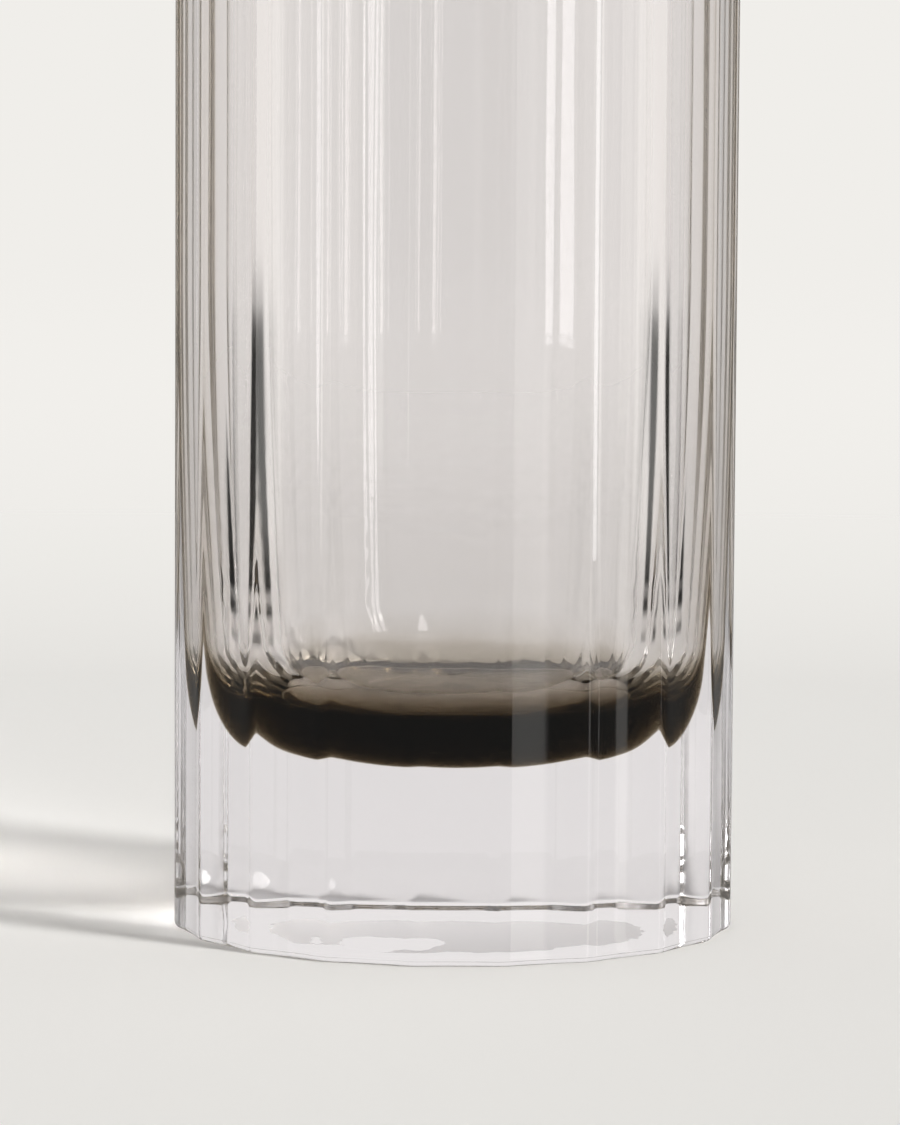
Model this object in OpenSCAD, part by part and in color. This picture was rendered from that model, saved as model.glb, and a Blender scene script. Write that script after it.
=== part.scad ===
// Cased glass cylinder vase: a thick clear casing with shallow flutes round the
// outside, fused over a smoke-grey lining that ends in a dark pool at the bottom.
// Millimetres, +Z up, origin at the centre of the foot on the table.

/* [Body] */
// Width over the ridges of the clear casing
body_d = 100; // [84:1:130]
// Height from the foot to the rim
body_h = 250; // [170:1:320]

/* [Flutes] */
// Number of shallow flutes round the casing
flute_count = 20; // [12:1:24]
// Depth of a flute below the flat that would join its two ridges
flute_hollow = 0.26; // [0.12:0.02:0.5]
// Radius that softens the ridge between two flutes
ridge_round = 6; // [3:0.5:10]

/* [Clear glass] */
// Thickness of the clear wall, measured at a ridge
casing_t = 12; // [8:0.5:16]
// Thickness of clear glass under the middle of the smoke pool
base_t = 30; // [15:1:40]
// Radius of the rounded edge of the foot
foot_round = 1.2; // [1:0.1:4]
// Radius of the rounded outer edge of the rim
rim_round = 1.5; // [0.5:0.25:3]
// Radius of the polished hollow under the foot
hollow_r = 25; // [10:1:35]
// Depth of the polished hollow
hollow_depth = 0.6; // [0.3:0.1:2]

/* [Smoke glass] */
// Thickness of the smoke wall where it is straight
lining_t = 0.4; // [0.4:0.05:1]
// Thickness of the smoke pool in the middle
pool_t = 8; // [6:0.5:14]
// Height above which the bore is straight
straight_z = 120; // [100:1:150]
// Radius of the long curve that draws the smoke wall inwards
lining_curve_r = 590; // [500:10:900]
// Radius of the shallow dome under the pool
pool_dome_r = 105; // [80:1:200]
// Radius of the corner round the underside of the pool
pool_corner_r = 16; // [12:0.5:20]
// How much tighter the bore's long curve is than the smoke wall's own
curve_lead = 20; // [10:5:60]
// Radius of the shallow dish of the bore's floor
floor_dish_r = 120; // [80:1:300]
// Radius of the corner round the bore's floor
floor_corner_r = 12.5; // [8:0.5:14]

/* [Hidden] */
round_fn = 96;
arc_steps = 8;
flute_steps = 4;
past = 2;

ridge_tip_r = body_d / 2;
half_flute = 180 / flute_count;
ridge_centre_r = ridge_tip_r - ridge_round;
lining_r = ridge_tip_r - casing_t;
bore_r = lining_r - lining_t;
bore_curve_r = lining_curve_r - curve_lead;
floor_z = base_t + pool_t;
// Nearest the flute comes to the axis, the radius that joins it smoothly to both ridges,
// its centre, and how far round its own centre each ridge turns
flute_low_r = ridge_centre_r * cos(half_flute) + ridge_round - flute_hollow;
flute_r = (ridge_centre_r * ridge_centre_r + flute_low_r * flute_low_r - ridge_round * ridge_round
    - 2 * ridge_centre_r * flute_low_r * cos(half_flute)) / (2 * flute_hollow);
flute_centre_r = flute_low_r + flute_r;
ridge_turn = atan2(flute_centre_r * sin(half_flute), flute_centre_r * cos(half_flute) - ridge_centre_r);
// The edges of foot and rim stop short of upright, and the envelope clears the ridges
edge_stop = 75;
hollow_curve_r = (hollow_r * hollow_r + hollow_depth * hollow_depth) / (2 * hollow_depth);

// Points of an arc; it starts at the step "first" so that joined arcs share no point
function arc_points(centre, r, a0, a1, steps, first = 0) = [
    for (i = [first:steps])
        let (a = a0 + (a1 - a0) * i / steps)
        [centre[0] + r * cos(a), centre[1] + r * sin(a)]
];

// Centre of the corner arc that runs smoothly from the floor's arc into the wall's arc
function corner_centre(wall_c, wall_r, floor_c, floor_r, corner_r) =
    let (
        p = wall_r - corner_r,
        q = floor_r - corner_r,
        d = norm(floor_c - wall_c),
        u = (floor_c - wall_c) / d,
        along = (p * p - q * q + d * d) / (2 * d),
        aside = sqrt(p * p - along * along)
    )
    wall_c + along * u + aside * [u[1], -u[0]];

// Half outline of a round-bottomed bore: dished floor, corner, long curve, straight wall
function bullet_outline(r, bottom_z, floor_r, corner_r, wall_r, top_z) =
    let (
        floor_c = [0, bottom_z + floor_r],
        wall_c = [r - wall_r, straight_z],
        corner_c = corner_centre(wall_c, wall_r, floor_c, floor_r, corner_r),
        to_floor = corner_c - floor_c,
        to_wall = corner_c - wall_c,
        a_floor = atan2(to_floor[1], to_floor[0]),
        a_wall = atan2(to_wall[1], to_wall[0])
    )
    concat(
        arc_points(floor_c, floor_r, -90, a_floor, arc_steps),
        arc_points(corner_c, corner_r, a_floor, a_wall, arc_steps, 1),
        arc_points(wall_c, wall_r, a_wall, 0, arc_steps, 1),
        [[r, top_z], [0, top_z]]
    );

// Outline of the casing seen from above: ridges and flutes that run smoothly into each other
function flute_outline() = [
    for (k = [0:flute_count - 1])
        let (
            turn = 2 * half_flute * k,
            away = turn + half_flute,
            ridge_c = ridge_centre_r * [cos(turn), sin(turn)],
            flute_c = flute_centre_r * [cos(away), sin(away)],
            facing = away + 180,
            flute_turn = half_flute - ridge_turn
        )
        each concat(
            arc_points(ridge_c, ridge_round, turn - ridge_turn, turn + ridge_turn, flute_steps, 1),
            arc_points(flute_c, flute_r, facing - flute_turn, facing + flute_turn, flute_steps, 1)
        )
];

// Half outline of the envelope that rounds the edges of foot and rim
function envelope_outline() =
    let (
        foot_c = [ridge_tip_r - foot_round, foot_round],
        rim_c = [ridge_tip_r - rim_round, body_h - rim_round]
    )
    concat(
        [[0, 0]],
        arc_points(foot_c, foot_round, -90, edge_stop - 90, arc_steps),
        [[ridge_tip_r + past, foot_round + past / tan(90 - edge_stop)]],
        [[ridge_tip_r + past, body_h - rim_round - past / tan(90 - edge_stop)]],
        arc_points(rim_c, rim_round, 90 - edge_stop, 90, arc_steps),
        [[0, body_h]]
    );

module revolve(outline) {
    rotate_extrude($fn = round_fn) polygon(outline);
}

// Outer shape of the smoke glass, which is also the space it fills in the casing
module lining_space(top_z) {
    revolve(bullet_outline(lining_r, base_t, pool_dome_r, pool_corner_r, lining_curve_r, top_z));
}

// The air inside, open past the rim
module bore_space() {
    revolve(bullet_outline(bore_r, floor_z, floor_dish_r, floor_corner_r, bore_curve_r, body_h + past));
}

// Shallow lens-shaped hollow ground into the underside
module foot_hollow() {
    dish_c = [0, hollow_depth - hollow_curve_r];
    edge_a = atan2(hollow_curve_r - hollow_depth, hollow_r);
    revolve(concat(arc_points(dish_c, hollow_curve_r, edge_a, 90, arc_steps), [[0, -past], [hollow_r, -past]]));
}

module clear_casing() {
    color([0.9, 0.9, 0.92, 0.35])
        difference() {
            intersection() {
                linear_extrude(height = body_h) polygon(flute_outline());
                revolve(envelope_outline());
            }
            lining_space(body_h + past);
            foot_hollow();
        }
}

module smoke_lining() {
    color([0.22, 0.2, 0.2, 0.8])
        difference() {
            lining_space(body_h);
            bore_space();
        }
}

clear_casing();
smoke_lining();
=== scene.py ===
import math

import bmesh
import bpy
from mathutils import Matrix, Vector, noise


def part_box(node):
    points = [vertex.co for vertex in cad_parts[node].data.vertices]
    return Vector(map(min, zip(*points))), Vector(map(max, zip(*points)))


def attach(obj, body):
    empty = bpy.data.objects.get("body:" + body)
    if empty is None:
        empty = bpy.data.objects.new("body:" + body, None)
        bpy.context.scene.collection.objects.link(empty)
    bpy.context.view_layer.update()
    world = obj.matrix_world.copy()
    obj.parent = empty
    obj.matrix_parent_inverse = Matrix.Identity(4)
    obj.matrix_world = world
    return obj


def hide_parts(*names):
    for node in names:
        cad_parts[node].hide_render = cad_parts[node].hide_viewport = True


# Studio picture of a cased glass vase: a fluted clear casing fused over a smoke lining.

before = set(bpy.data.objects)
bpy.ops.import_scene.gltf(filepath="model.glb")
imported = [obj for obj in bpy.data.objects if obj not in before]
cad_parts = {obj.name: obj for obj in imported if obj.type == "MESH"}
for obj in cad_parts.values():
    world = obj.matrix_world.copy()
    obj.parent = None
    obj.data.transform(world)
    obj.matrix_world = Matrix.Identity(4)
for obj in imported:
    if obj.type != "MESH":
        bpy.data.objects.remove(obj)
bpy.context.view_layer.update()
scene = bpy.context.scene
mm = 0.001
liningLow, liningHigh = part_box("smoke_lining")
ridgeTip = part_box("clear_casing")[1].x
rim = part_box("clear_casing")[1].z
parting = 20 * mm  # flat rings are held this far apart while they are bridged

# outer glass: the ring of shallow flutes, the edges, the polished hollow underneath
casing = {
    "flutes": 20,
    "ridgeRound": 6 * mm,
    "fluteHollow": 0.26 * mm,
    "ridgeSteps": 8,
    "fluteSteps": 8,
    "rows": 80,
    "footRound": 1.2 * mm,
    "rimRound": 1.5 * mm,
    "edgeSteps": 6,
    "hollowRadius": 25 * mm,
    "hollowDepth": 0.6 * mm,
    "hollowSteps": 16,
    "footRings": 3,
}

# smoke glass: dished bottom, round corner, long curve, straight wall; and the bore inside it
lining = {
    "wall": 0.4 * mm,
    "pool": 8 * mm,
    "straightFrom": 120 * mm,
    "outside": {"dish": 105 * mm, "corner": 16 * mm, "curve": 590 * mm},
    "bore": {"dish": 120 * mm, "corner": 12.5 * mm, "curve": 570 * mm},
    "dishSteps": 18,
    "cornerSteps": 20,
    "curveSteps": 64,
    "straightSteps": 20,
    "seamGap": 0.02 * mm,
}
ringSteps = casing["flutes"] * (casing["ridgeSteps"] + casing["fluteSteps"])


def vertsOf(made):
    return [item for item in made if isinstance(item, bmesh.types.BMVert)]


def edgesOf(made):
    return [item for item in made if isinstance(item, bmesh.types.BMEdge)]


def arcFrom(bm, vert, centre, turn, steps, axis=(0, -1, 0)):
    # draws an arc on from a vertex and gives back its far end
    made = bmesh.ops.spin(bm, geom=[vert], cent=centre, axis=axis, angle=turn, steps=steps)
    return vertsOf(made["geom_last"])[0]


def lineFrom(bm, vert, way, steps):
    for count in range(steps):
        vert = bmesh.ops.extrude_vert_indiv(bm, verts=[vert])["verts"][0]
        vert.co += Vector(way) / steps
    return vert


def spinRound(bm):
    bmesh.ops.spin(bm, geom=bm.verts[:] + bm.edges[:], cent=(0, 0, 0), axis=(0, 0, 1),
                   angle=math.tau, steps=ringSteps, use_merge=True)
    bmesh.ops.remove_doubles(bm, verts=bm.verts[:], dist=1e-7)


def makePiece(name, bm):
    bmesh.ops.recalc_face_normals(bm, faces=bm.faces[:])
    mesh = bpy.data.meshes.new(name)
    bm.to_mesh(mesh)
    bm.free()
    mesh.polygons.foreach_set("use_smooth", [True] * len(mesh.polygons))
    piece = bpy.data.objects.new(name, mesh)
    scene.collection.objects.link(piece)
    return piece


def bulletOutline(bm, radius, bottom, shape):
    # half outline of a round-bottomed hollow, drawn from the axis up to the rim
    dishCentre = Vector((0, 0, bottom + shape["dish"]))
    wallCentre = Vector((radius - shape["curve"], 0, lining["straightFrom"]))
    wallReach = shape["curve"] - shape["corner"]
    dishReach = shape["dish"] - shape["corner"]
    apart = dishCentre - wallCentre
    along = (wallReach ** 2 - dishReach ** 2 + apart.length_squared) / (2 * apart.length)
    aside = math.sqrt(wallReach ** 2 - along ** 2)
    unit = apart.normalized()
    corner = wallCentre + along * unit + aside * Vector((unit.z, 0, -unit.x))
    dishTurn = math.atan2(corner.x, dishCentre.z - corner.z)
    wallTurn = math.atan2(wallCentre.z - corner.z, corner.x - wallCentre.x)
    vert = bm.verts.new((0, 0, bottom))
    vert = arcFrom(bm, vert, dishCentre, dishTurn, lining["dishSteps"])
    vert = arcFrom(bm, vert, corner, math.pi / 2 - dishTurn - wallTurn, lining["cornerSteps"])
    vert = arcFrom(bm, vert, wallCentre, wallTurn, lining["curveSteps"])
    return lineFrom(bm, vert, (0, 0, rim - vert.co.z), lining["straightSteps"])


def fluteLow():
    # nearest a flute comes to the axis
    ridge = casing["ridgeRound"]
    return (ridgeTip - ridge) * math.cos(math.pi / casing["flutes"]) + ridge - casing["fluteHollow"]


def fluteOutline(bm):
    # one ridge and one flute as two arcs that run smoothly into each other, repeated round the axis
    half = math.pi / casing["flutes"]
    ridge, hollow = casing["ridgeRound"], casing["fluteHollow"]
    centre = ridgeTip - ridge
    deepest = fluteLow()
    flute = (centre ** 2 + deepest ** 2 - ridge ** 2 - 2 * centre * deepest * math.cos(half)) / (2 * hollow)
    fluteCentre = (deepest + flute) * Vector((math.cos(half), math.sin(half), 0))
    join = fluteCentre - Vector((centre, 0, 0))
    ridgeTurn = math.atan2(join.y, join.x)
    fluteTurn = ridgeTurn - half
    vert = bm.verts.new((centre + ridge * math.cos(ridgeTurn), -ridge * math.sin(ridgeTurn), 0))
    vert = arcFrom(bm, vert, (centre, 0, 0), 2 * ridgeTurn, casing["ridgeSteps"], (0, 0, 1))
    arcFrom(bm, vert, fluteCentre, 2 * fluteTurn, casing["fluteSteps"], (0, 0, -1))
    bmesh.ops.spin(bm, geom=bm.verts[:] + bm.edges[:], cent=(0, 0, 0), axis=(0, 0, 1), angle=math.tau,
                   steps=casing["flutes"], use_duplicate=True)
    bmesh.ops.remove_doubles(bm, verts=bm.verts[:], dist=1e-6)
    return bm.edges[:]


def wallSections():
    # height and relative width of each ring: round foot, straight wall, round rim
    foot, top = casing["footRound"], casing["rimRound"]
    quarter = [math.pi / 2 * step / casing["edgeSteps"] for step in range(casing["edgeSteps"] + 1)]
    wall = rim - top - foot
    footRings = [(foot * (1 - math.cos(turn)), 1 - foot * (1 - math.sin(turn)) / ridgeTip)
                 for turn in quarter]
    wallRings = [(foot + wall * row / casing["rows"], 1) for row in range(1, casing["rows"] + 1)]
    rimRings = [(rim - top * (1 - math.sin(turn)), 1 - top * (1 - math.cos(turn)) / ridgeTip)
                for turn in quarter[1:]]
    return footRings + wallRings + rimRings


def raiseWall(bm, ring):
    sections = wallSections()
    height, width = 0, 1
    for count, (nextHeight, nextWidth) in enumerate(sections):
        made = ring if count == 0 else bmesh.ops.extrude_edge_only(bm, edges=ring)["geom"]
        verts = bm.verts[:] if count == 0 else vertsOf(made)
        grow = nextWidth / width
        bmesh.ops.scale(bm, verts=verts, vec=(grow, grow, 1))
        bmesh.ops.translate(bm, verts=verts, vec=(0, 0, nextHeight - height))
        newest = set(verts)
        ring = [edge for edge in edgesOf(made) if newest.issuperset(edge.verts)]
        height, width = nextHeight, nextWidth


def addPart(bm, part, gap, isLow):
    # closes the shell with another spun part; flat rings are bridged while held apart
    mesh = bpy.data.meshes.new("part")
    part.to_mesh(mesh)
    part.free()
    before = len(bm.verts)
    bm.from_mesh(mesh)
    bpy.data.meshes.remove(mesh)
    bm.verts.ensure_lookup_table()
    added = bm.verts[before:]
    rings = [edge for edge in bm.edges if edge.is_boundary and (edge.verts[0].co.z < rim / 2) == isLow]
    bmesh.ops.translate(bm, verts=added, vec=(0, 0, gap))
    bmesh.ops.bridge_loops(bm, edges=rings)
    bmesh.ops.translate(bm, verts=added, vec=(0, 0, -gap))


def footHollow():
    bm = bmesh.new()
    radius, depth = casing["hollowRadius"], casing["hollowDepth"]
    dish = (radius ** 2 + depth ** 2) / (2 * depth)
    vert = arcFrom(bm, bm.verts.new((0, 0, depth)), (0, 0, depth - dish), math.asin(radius / dish),
                   casing["hollowSteps"], (0, 1, 0))
    reach = fluteLow() - 2 * casing["footRound"]
    lineFrom(bm, vert, (reach - radius, 0, 0), casing["footRings"])
    spinRound(bm)
    return bm


def makeCasing():
    bm = bmesh.new()
    raiseWall(bm, fluteOutline(bm))
    addPart(bm, footHollow(), parting, True)
    cavity = bmesh.new()
    bulletOutline(cavity, liningHigh.x, liningLow.z, lining["outside"])
    spinRound(cavity)
    addPart(bm, cavity, -parting, False)
    return makePiece("casing_glass", bm)


# marks of hand work in the bore, as depths of the marks and the scales of their noise
wear = {
    "streak": 0.05 * mm,
    "streakScale": (5, 9),
    "fineScale": (14, 25),
    "ripple": 0.03 * mm,
    "ripplePitch": 5 * mm,
    "ripplesFrom": 50 * mm,
    "ripplesReach": 60 * mm,
    "sway": 0.8,
    "swayScale": (2.5, 40),
    "floor": 0.12 * mm,
    "floorScale": 130,
    "calmRim": 10 * mm,
}


def noiseRound(around, height, scale, shift=0):
    # noise that follows the wall: across by direction, upwards by height
    across, up = scale
    return noise.noise(Vector((around.x * across, around.y * across, height * up + shift)))


def onBore(vert):
    across = Vector((vert.co.x, vert.co.y, 0)).length
    inner = across < liningHigh.x - 0.5 * lining["wall"] and vert.normal.z > -0.05
    return inner and vert.normal.dot(Vector((vert.co.x, vert.co.y, 0))) < 1e-6


def workBore(piece):
    # long upright streaks, level ripples near the bottom, an uneven floor
    for vert in piece.data.vertices:
        if not onBore(vert):
            continue
        x, y, z = vert.co
        around = Vector((x, y, 0)).normalized()
        level = max(0.0, vert.normal.z)
        streak = noiseRound(around, z, wear["streakScale"])
        streak += 0.5 * noiseRound(around, z, wear["fineScale"], 7)
        low = max(0.0, 1 - max(0.0, z - wear["ripplesFrom"]) / wear["ripplesReach"])
        sway = wear["sway"] * noiseRound(around, z, wear["swayScale"], 3)
        ripple = math.sin(math.tau * (z / wear["ripplePitch"] + sway)) * low ** 2
        floor = noise.noise(Vector((x, y, 0)) * wear["floorScale"]) * level ** 2
        move = wear["streak"] * streak + wear["ripple"] * ripple * (1 - level) + wear["floor"] * floor
        vert.co += vert.normal * move * min(1.0, (rim - z) / wear["calmRim"])


def makeLining():
    bm = bmesh.new()
    gap = lining["seamGap"]
    outer = bulletOutline(bm, liningHigh.x - gap, liningLow.z + gap, lining["outside"])
    inner = bulletOutline(bm, liningHigh.x - lining["wall"], liningLow.z + lining["pool"], lining["bore"])
    bm.edges.new((outer, inner))
    spinRound(bm)
    piece = makePiece("lining_glass", bm)
    workBore(piece)
    return piece


def markSeam(piece, isSeam):
    shows = piece.data.attributes.new("shows", "FLOAT", "FACE")
    for face in piece.data.polygons:
        shows.data[face.index].value = 0.0 if isSeam(face) else 1.0


def onRim(face):
    return face.center.z > rim - 0.01 * mm


def casingSeam(face):
    inside = face.center.xy.length < liningHigh.x + 0.1 * mm and face.center.z > liningLow.z - 0.1 * mm
    return inside and not onRim(face)


def liningSeam(face):
    outward = face.normal.dot(Vector((face.center.x, face.center.y, 0)))
    return not onRim(face) and (outward > 0 or face.normal.z < -0.3)


casingGlass = makeCasing()
liningGlass = makeLining()
markSeam(casingGlass, casingSeam)
markSeam(liningGlass, liningSeam)
print("casing", len(casingGlass.data.polygons), "faces, lining", len(liningGlass.data.polygons), "faces")

# pale floor and backdrop, key light from the right, what the glass reflects and refracts, and painted shadow
# that only the glass shows
studio = {
    "pale": (0.871, 0.855, 0.823),
    "floorColour": (0.88, 0.88, 0.88),
    "floorRadius": 40,
    "floorHeight": -0.05 * mm,
    "fadeFrom": 0.45,  # the floor melts into the backdrop from here on
    "fadePower": 1.3,
    "keyAzimuth": 55,
    "keyHeight": 27,
    "keyAngle": 9,
    "keyPower": 3.0,
    "fill": 0.5,
    "darkness": 0.25,
    # bright strips: azimuth from the camera, half width, strength, lowest elevation
    "strips": (
        (44, 3.2, 1.3, -30),
        (79, 1.6, 1.2, -30),
        (73, 3.5, 3.0, -4),
        (-66.5, 3.5, 3.0, -4),
        (-36, 1.4, 1.6, -3),
    ),
    "stripSoft": 0.7,
    # painted shadow: dark sectors either side of straight back, on the floor and in the world below the
    # horizon, seen only through the glass; they stand in for the vase's shadow on the table
    "paintedShadow": (56, 72),  # degrees from straight back, on either side
    "paintedShadowSoft": 3,
    "paintedShadowBelow": (1, -6),  # elevations between which the painted shadow sets in, in the world
    "flagBlocks": 0.995,
    "paintedShadowColour": (0.002, 0.002, 0.002),
    "paintedShadowReach": 2.73,
    "paintedShadowHeight": -0.03 * mm,
    "paintedShadowNear": (0.16, 0.24),
    "paintedShadowFar": (2.6, 1.0),
    "flagDark": 0.1,
    "roomRamp": (125, 135),
}
softBox = {"width": 0.3, "height": 1.0, "power": 5, "distance": 1.1, "up": 0.45, "aim": 0.05}
shot = {"azimuth": 7.7, "distance": 0.75, "height": 0.119, "pitch": 4.15, "yaw": 0.054, "roll": 0.34,
        "lens": 134.8}
view = math.radians(shot["azimuth"])


class Wire:
    # one output socket, or a plain number, with arithmetic that adds the nodes it needs
    def __init__(self, tree, source):
        self.tree = tree
        self.source = source

    def add(self, kind, settings=(), **inputs):
        # any other node; inputs go by name, or by index as "at0", "at1"
        node = self.tree.nodes.new(kind)
        for name, value in dict(settings).items():
            setattr(node, name, value)
        for name, value in inputs.items():
            socket = node.inputs[int(name[2:])] if name[:2] == "at" else node.inputs[name.replace("_", " ")]
            self.feed(socket, value)
        return Wire(self.tree, node.outputs[0]), node

    def feed(self, socket, value):
        value = value.source if isinstance(value, Wire) else value
        if isinstance(value, bpy.types.NodeSocket):
            self.tree.links.new(value, socket)
        else:
            socket.default_value = value

    def maths(self, operation, *others):
        inputs = {"at%d" % count: value for count, value in enumerate((self,) + others)}
        return self.add("ShaderNodeMath", {"operation": operation}, **inputs)[0]

    def __add__(self, other):
        return self.maths("ADD", other)

    def __sub__(self, other):
        return self.maths("SUBTRACT", other)

    def __mul__(self, other):
        return self.maths("MULTIPLY", other)

    def __truediv__(self, other):
        return self.maths("DIVIDE", other)

    def __radd__(self, other):
        return Wire(self.tree, other).maths("ADD", self)

    def __rsub__(self, other):
        return Wire(self.tree, other).maths("SUBTRACT", self)

    def __rmul__(self, other):
        return Wire(self.tree, other).maths("MULTIPLY", self)

    def __rtruediv__(self, other):
        return Wire(self.tree, other).maths("DIVIDE", self)

    def __neg__(self):
        return 0.0 - self

    def __abs__(self):
        return self.maths("ABSOLUTE")

    def ramp(self, low, high, kind="SMOOTHSTEP"):
        # 0 below low, 1 above high; low may be the larger number
        return self.add("ShaderNodeMapRange", {"interpolation_type": kind}, at0=self, at1=low, at2=high)[0]


# the ground patch under the foot, and the polished gap in it
pontil = {
    "radius": 24 * mm,
    "ragged": 12 * mm,
    "scale": 90.0,
    "gap": (-8 * mm, -16 * mm),
    "gapRadius": 7 * mm,
    "edge": 0.5 * mm,
    "upTo": (0.8 * mm, 1.0 * mm),
    "roughness": 0.4,
}


def groundPatch(tree):
    # 1 on the ground middle of the underside, with a ragged edge and a polished gap
    start = Wire(tree, 0.0)
    where = start.add("ShaderNodeTexCoord")[1].outputs["Object"]
    split = start.add("ShaderNodeSeparateXYZ", at0=where)[1]
    x, y, z = (Wire(tree, split.outputs[name]) for name in "XYZ")
    grain = start.add("ShaderNodeTexNoise", Vector=where, Scale=pontil["scale"], Detail=4.0)[0]
    ragged = (grain - 0.5) * pontil["ragged"]
    reach = (x * x + y * y).maths("SQRT") + ragged
    inside = reach.ramp(pontil["radius"] + pontil["edge"], pontil["radius"])
    gapX, gapY = pontil["gap"]
    fromGap = ((x - gapX) * (x - gapX) + (y - gapY) * (y - gapY)).maths("SQRT") + ragged
    outsideGap = fromGap.ramp(pontil["gapRadius"], pontil["gapRadius"] + pontil["edge"])
    full, none = pontil["upTo"]
    return inside * z.ramp(none, full) * outsideGap


# both glasses; a wall lets the key light through where it stands square to it
glass = {
    "ior": 1.5,
    "shadowLets": 0.93,
    "shadowRamp": (0.3, 0.95),
    "crystalColour": (0.98, 0.962, 1.0),
    "smokeDensity": 200,
    "smokeColour": (0.27, 0.175, 0.0),
}


def glassMaterial(name, colour, density=0.0, absorb=(0, 0, 0)):
    material = bpy.data.materials.new(name)
    material.use_nodes = True
    nodes = material.node_tree.nodes
    shader = nodes["Principled BSDF"]
    shader.inputs["Base Color"].default_value = (*colour, 1)
    shader.inputs["Roughness"].default_value = 0.0
    shader.inputs["IOR"].default_value = glass["ior"]
    shader.inputs["Transmission Weight"].default_value = 1
    start = Wire(material.node_tree, 0.0)
    shows = Wire(start.tree, start.add("ShaderNodeAttribute", {"attribute_name": "shows"})[1].outputs["Fac"])
    casts = Wire(start.tree, start.add("ShaderNodeLightPath")[1].outputs["Is Shadow Ray"])
    normal = start.add("ShaderNodeNewGeometry")[1].outputs["Normal"]
    split = start.add("ShaderNodeSeparateXYZ", at0=normal)[1]
    x, y = (Wire(start.tree, split.outputs[name]) for name in "XY")
    keyTurn = math.radians(studio["keyAzimuth"]) + view
    square = abs(x * math.sin(keyTurn) - y * math.cos(keyTurn))  # 1 where the wall faces the key light
    lets = glass["shadowLets"] * square.ramp(*glass["shadowRamp"]) * casts
    start.feed(shader.inputs["Alpha"], shows * (1.0 - lets))
    if name == "clear_crystal":
        start.feed(shader.inputs["Roughness"], groundPatch(start.tree) * pontil["roughness"])
    if density:
        volume = start.add("ShaderNodeVolumeAbsorption", Color=(*absorb, 1), Density=density)[0]
        start.feed(nodes["Material Output"].inputs["Volume"], volume)
    return material


clearCrystal = glassMaterial("clear_crystal", glass["crystalColour"])
smokeGlass = glassMaterial("smoke_glass", (1, 1, 1), glass["smokeDensity"], glass["smokeColour"])
for piece, material, node, slotName in (
        (casingGlass, clearCrystal, "clear_casing", "clear_glass"),
        (liningGlass, smokeGlass, "smoke_lining", "smoke_glass")):
    piece.data.materials.append(material)
    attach(piece, "root")
    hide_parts(node)
print("glass materials on both pieces")


def stageDisc(name, paint, colour, radius, height):
    # a flat matt disc on the floor; gives back its object, its shader and a wire to start from
    bm = bmesh.new()
    bmesh.ops.create_circle(bm, cap_ends=True, segments=96, radius=radius)
    disc = makePiece(name, bm)
    for face in disc.data.polygons:
        face.use_smooth = False
    if disc.data.polygons[0].normal.z < 0:
        disc.data.flip_normals()
    disc.data.transform(Matrix.Translation((0, 0, height)))
    material = bpy.data.materials.new(paint)
    material.use_nodes = True
    disc.data.materials.append(material)
    shader = material.node_tree.nodes["Principled BSDF"]
    shader.inputs["Base Color"].default_value = (*colour, 1)
    shader.inputs["Roughness"].default_value = 1
    shader.inputs["Specular IOR Level"].default_value = 0
    return disc, shader, Wire(material.node_tree, 0.0)


def makeFloor():
    floor, shader, start = stageDisc("floor", "floor_paint", studio["floorColour"], studio["floorRadius"],
                                     studio["floorHeight"])
    where = start.add("ShaderNodeTexCoord")[1].outputs["Object"]
    length = start.add("ShaderNodeVectorMath", {"operation": "LENGTH"}, at0=where)[1]
    reach = Wire(start.tree, length.outputs["Value"])
    fade = (studio["fadeFrom"] / reach).maths("POWER", studio["fadePower"])
    start.feed(shader.inputs["Alpha"], fade.maths("MINIMUM", 1.0))
    floor.visible_glossy = False


def sine(degrees):
    return math.sin(math.radians(degrees))


def turnFromBack(x, y):
    # angle of a place or direction from straight back, the same on either side
    aside = abs((-x * math.cos(view)) - (y * math.sin(view)))
    behind = (y * math.cos(view)) - (x * math.sin(view))
    return aside.maths("ARCTAN2", behind)


def inPaintedShadow(fromBack):
    # 1 inside the sectors of painted shadow, either side of straight back
    first, last = (math.radians(turn) for turn in studio["paintedShadow"])
    soft = math.radians(studio["paintedShadowSoft"])
    return fromBack.ramp(first - soft, first + soft) * fromBack.ramp(last + soft, last - soft)


def makePaintedShadow():
    # painted shadow on the floor: a dark disc that only light come through glass meets, standing in for the
    # vase's shadow on the table
    paintedShadow, shader, start = stageDisc("paintedShadow", "painted_shadow", studio["paintedShadowColour"], studio["paintedShadowReach"],
                                     studio["paintedShadowHeight"])
    where = start.add("ShaderNodeTexCoord")[1].outputs["Object"]
    split = start.add("ShaderNodeSeparateXYZ", at0=where)[1]
    x, y = (Wire(start.tree, split.outputs[name]) for name in "XY")
    reach = (x * x + y * y).maths("SQRT")
    near = reach.ramp(*studio["paintedShadowNear"]) * reach.ramp(*studio["paintedShadowFar"])
    start.feed(shader.inputs["Alpha"], inPaintedShadow(turnFromBack(x, y)) * near)
    for name in ("visible_camera", "visible_diffuse", "visible_glossy", "visible_shadow"):
        setattr(paintedShadow, name, False)


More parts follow.
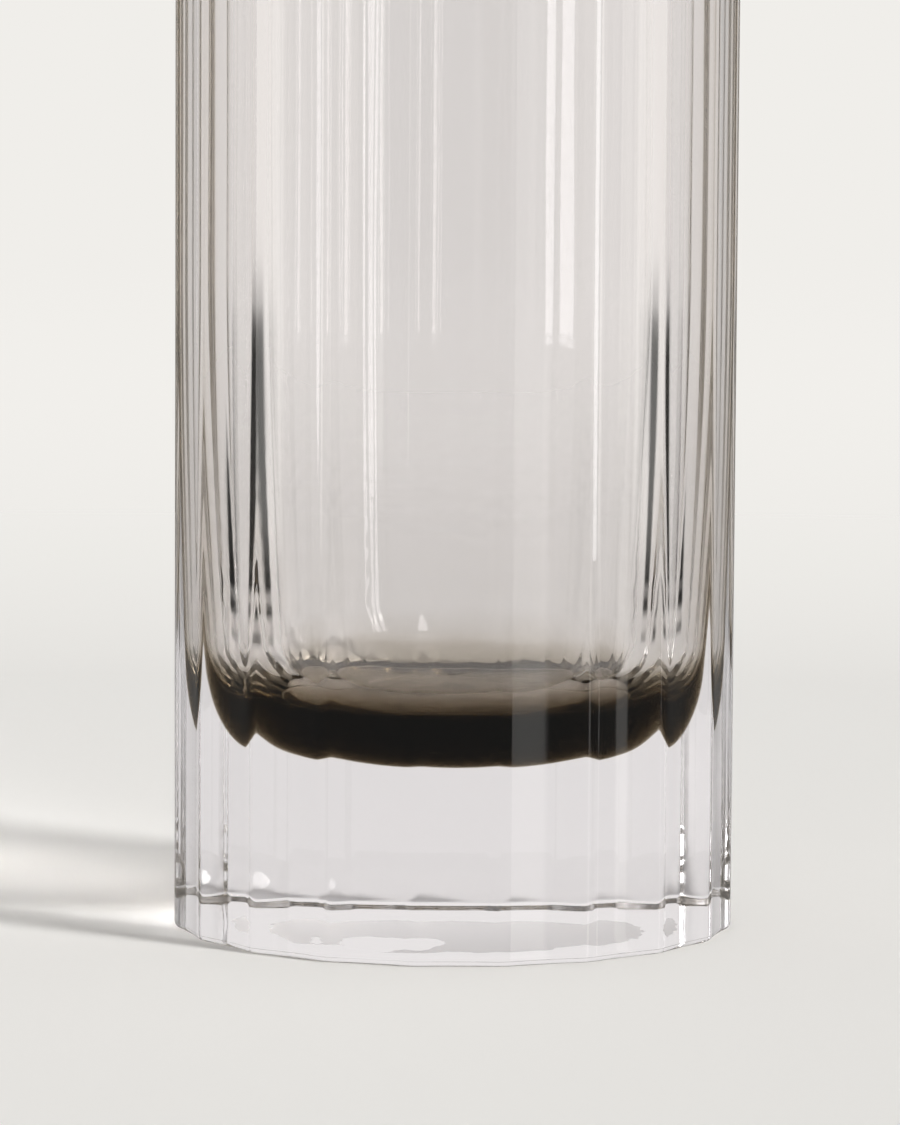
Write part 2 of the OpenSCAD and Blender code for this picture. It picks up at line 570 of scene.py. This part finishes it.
def makeWorld():
    # seen plainly it is one pale colour; reflections see a dim room with bright strips,
    # and light coming through the glass from the far sides meets painted shadow below the horizon
    world = bpy.data.worlds.new("studio")
    scene.world = world
    world.use_nodes = True
    tree = world.node_tree
    plain = tree.nodes["Background"]
    plain.inputs["Color"].default_value = (*studio["pale"], 1)
    start = Wire(tree, 0.0)
    path = start.add("ShaderNodeLightPath")[1]
    direction = start.add("ShaderNodeTexCoord")[1].outputs["Generated"]
    split = start.add("ShaderNodeSeparateXYZ", at0=direction)[1]
    x, y, z = (Wire(tree, split.outputs[name]) for name in "XYZ")
    around = x.maths("ARCTAN2", -y)  # from the front (-Y) towards +X
    shine = Wire(tree, studio["darkness"])
    for centre, half, strength, lowest in studio["strips"]:
        away = abs(around - math.radians(centre + shot["azimuth"]))
        above = z.ramp(sine(lowest - studio["stripSoft"]), sine(lowest + studio["stripSoft"]))
        beside = away.ramp(math.radians(half * 1.3), math.radians(half * 0.7))
        shine = shine + strength * above * beside
    fromBack = turnFromBack(x, y)
    first, last = (math.radians(turn) for turn in studio["roomRamp"])
    room = 1.0 - (1.0 - studio["flagDark"]) * fromBack.ramp(first, last)
    high, low = (sine(height) for height in studio["paintedShadowBelow"])
    # painted shadow: for light through the glass the world goes dark in the side sectors below the horizon
    through = room * (1.0 - studio["flagBlocks"] * inPaintedShadow(fromBack) * z.ramp(high, low))
    reflected = Wire(tree, path.outputs["Is Glossy Ray"])
    passed = Wire(tree, path.outputs["Is Transmission Ray"])
    onlyShine = (reflected - passed).maths("MAXIMUM", 0.0)
    spread = Wire(tree, path.outputs["Is Diffuse Ray"])
    seen = 1.0 - onlyShine - passed - spread
    strength = seen + onlyShine * shine + passed * through + studio["fill"] * spread
    start.feed(plain.inputs["Strength"], strength)


makeFloor()
makePaintedShadow()
makeWorld()
print("floor, flags and world")


def makeKey():
    # a distant soft key, so the floor is lit evenly; reflections don't see it
    sun = bpy.data.lights.new("key", "SUN")
    sun.energy, sun.angle = studio["keyPower"], math.radians(studio["keyAngle"])
    sun.color = tuple(channel / studio["pale"][0] for channel in studio["pale"])
    key = bpy.data.objects.new("key", sun)
    tilt = math.radians(90 - studio["keyHeight"])
    key.rotation_euler = (tilt, 0, math.radians(studio["keyAzimuth"]) + view)
    key.visible_glossy = False
    scene.collection.objects.link(key)


def makeSoftBox():
    # an upright box light that only the glass shows
    light = bpy.data.lights.new("soft_box", "AREA")
    light.shape = "RECTANGLE"
    light.size, light.size_y = softBox["width"], softBox["height"]
    light.energy = softBox["power"]
    lamp = bpy.data.objects.new("soft_box", light)
    turned = math.radians(studio["keyAzimuth"]) + view
    away = softBox["distance"]
    lamp.location = (away * math.sin(turned), -away * math.cos(turned), softBox["up"])
    aim = Vector((0, 0, softBox["aim"])) - lamp.location
    lamp.rotation_euler = aim.to_track_quat("-Z", "Y").to_euler()
    lamp.visible_diffuse = False
    scene.collection.objects.link(lamp)


makeKey()
makeSoftBox()

cameraData = bpy.data.cameras.new("camera")
cameraData.lens = shot["lens"]
camera = bpy.data.objects.new("camera", cameraData)
scene.collection.objects.link(camera)
scene.camera = camera
yaw = Matrix.Rotation(view + math.radians(shot["yaw"]), 4, "Z")
pitch = Matrix.Rotation(math.radians(90 - shot["pitch"]), 4, "X")
roll = Matrix.Rotation(math.radians(shot["roll"]), 4, "Z")
place = Vector((shot["distance"] * math.sin(view), -shot["distance"] * math.cos(view), shot["height"]))
camera.matrix_world = Matrix.Translation(place) @ yaw @ pitch @ roll
print("lights and camera")

# many bounces, because light crosses up to eight glass walls
scene.cycles.max_bounces = 32
scene.cycles.transmission_bounces = 32
scene.cycles.glossy_bounces = 16
scene.cycles.transparent_max_bounces = 64
scene.view_settings.view_transform = "Standard"
